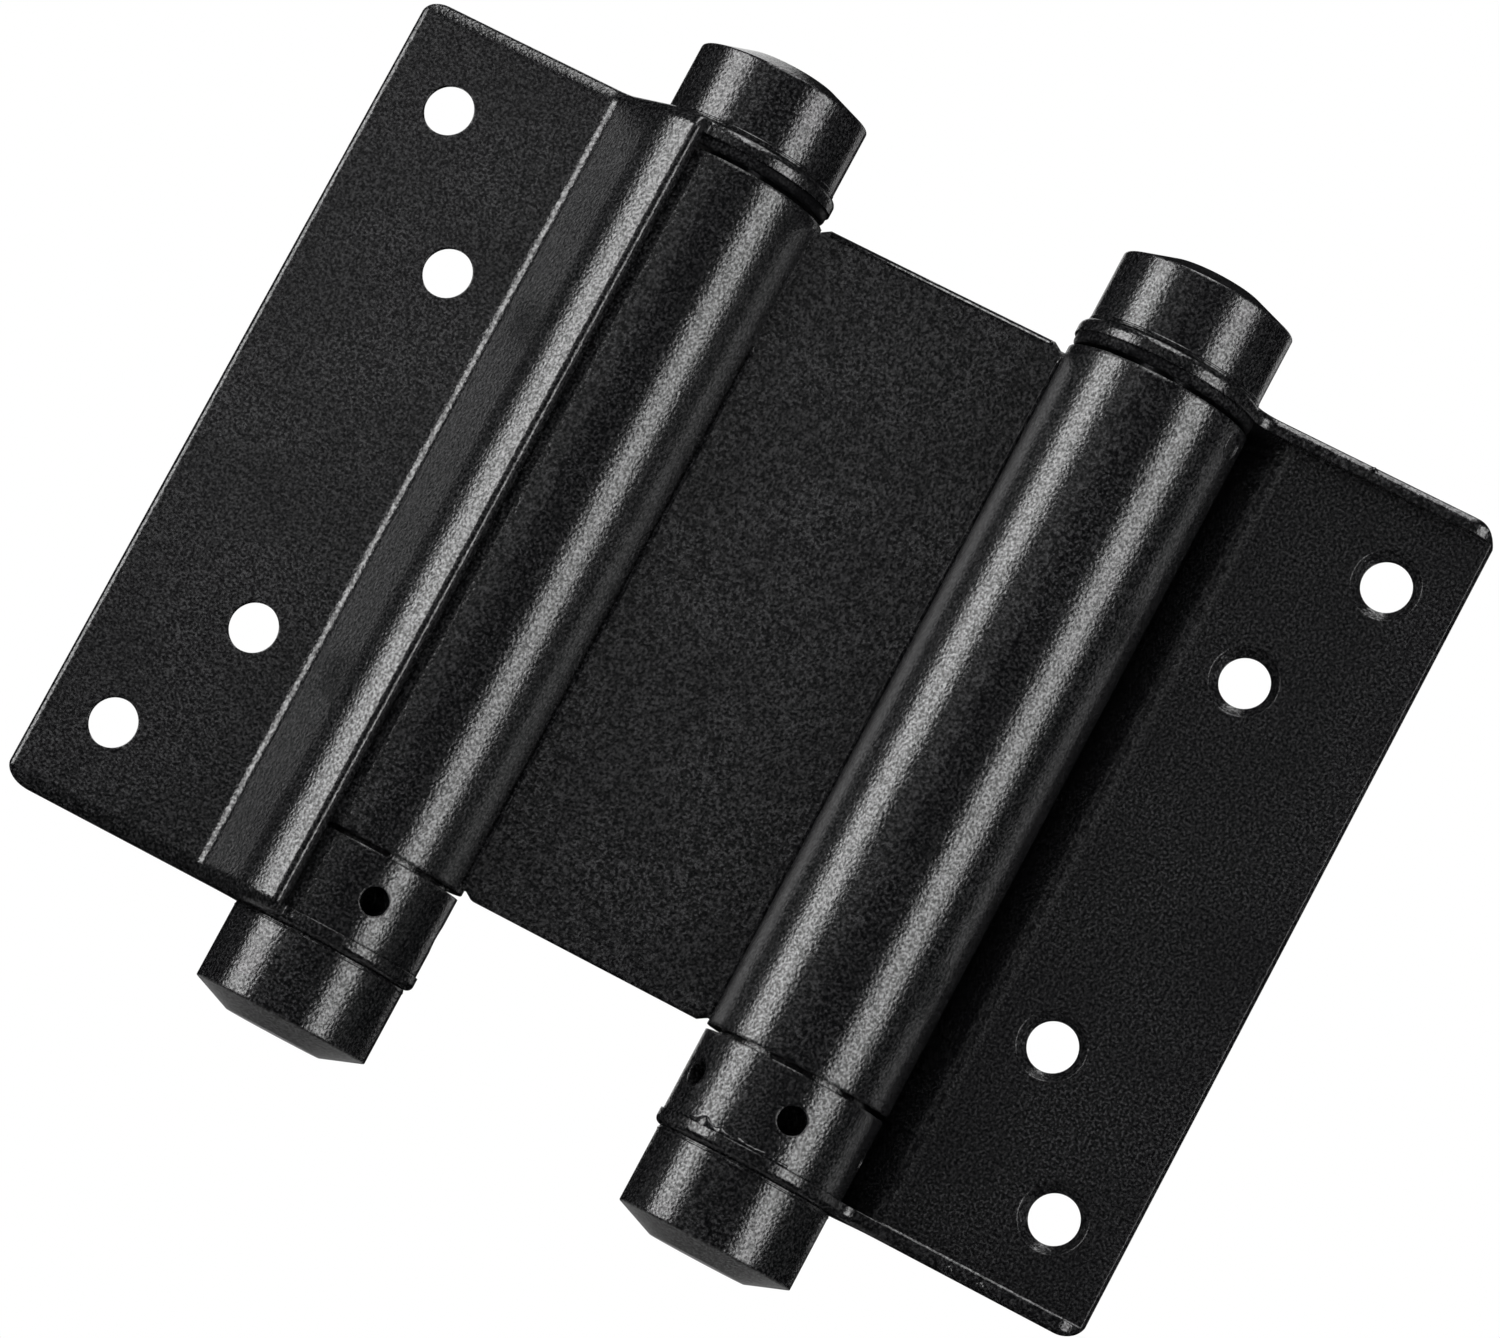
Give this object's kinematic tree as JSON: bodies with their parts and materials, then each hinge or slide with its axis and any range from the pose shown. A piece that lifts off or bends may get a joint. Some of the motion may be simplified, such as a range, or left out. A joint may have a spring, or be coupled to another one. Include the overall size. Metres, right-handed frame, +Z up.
{
  "type": "double action cafe hinge",
  "caption": "Double action spring hinge for cafe or saloon doors: pressed leaves swing both ways on barrels curled from a centre sheet, with tension collars.",
  "frame": {"origin": "middle of the hinge's overall box, half way between the two barrel axes and half way up the leaves", "axes": "+X from the jamb leaf to the door leaf with the hinge opened flat, +Z up along the barrel axes, with the tension collars at the lower end; the centre sheet's front is towards -Y"},
  "size_m": [0.102, 0.0196, 0.0923],
  "materials": {
    "leaf_sheet": "black textured powder coat on pressed steel sheet",
    "barrel_sheet": "black textured powder coat on rolled steel sheet",
    "turned_tip": "black textured powder coat on turned steel",
    "collar_coat": "black textured powder coat on turned steel",
    "washer_steel": "black powder coat on a steel washer",
    "pin_coat": "black powder coat over the drive pin's end",
    "inner_steel": "bright turned steel, oiled",
    "spring_wire": "oil-tempered spring wire"
  },
  "bodies": {
    "jamb_leaf": {"jamb_leaf": "leaf_sheet", "jamb_pintle": "inner_steel", "jamb_top_tip": "turned_tip", "jamb_bottom_tip": "turned_tip", "jamb_thrust_washer": "washer_steel"},
    "barrel_plate": {"barrel_plate": "barrel_sheet", "jamb_spring_plug": "inner_steel", "jamb_plug_pin": "pin_coat", "jamb_torsion_spring": "spring_wire", "door_spring_plug": "inner_steel", "door_plug_pin": "pin_coat", "door_torsion_spring": "spring_wire"},
    "door_leaf": {"door_leaf": "leaf_sheet", "door_pintle": "inner_steel", "door_top_tip": "turned_tip", "door_bottom_tip": "turned_tip", "door_thrust_washer": "washer_steel"},
    "jamb_tension_collar": {"jamb_tension_collar": "collar_coat"},
    "door_tension_collar": {"door_tension_collar": "collar_coat"}
  },
  "joints": [
    {"name": "jamb_swing", "type": "hinge", "parent": "jamb_leaf", "child": "barrel_plate", "pos_m": [-0.0203, 0, 0], "axis": [0, 0, 1], "range_deg": [-85, 180]},
    {"name": "door_swing", "type": "hinge", "parent": "barrel_plate", "child": "door_leaf", "pos_m": [0.0203, 0, 0], "axis": [0, 0, -1], "range_deg": [-85, 180]},
    {"name": "jamb_tension", "type": "hinge", "parent": "jamb_leaf", "child": "jamb_tension_collar", "pos_m": [-0.0203, 0, 0], "axis": [0, 0, 1], "range_deg": [0, 270]},
    {"name": "door_tension", "type": "hinge", "parent": "door_leaf", "child": "door_tension_collar", "pos_m": [0.0203, 0, 0], "axis": [0, 0, 1], "range_deg": [0, 270]}
  ]
}
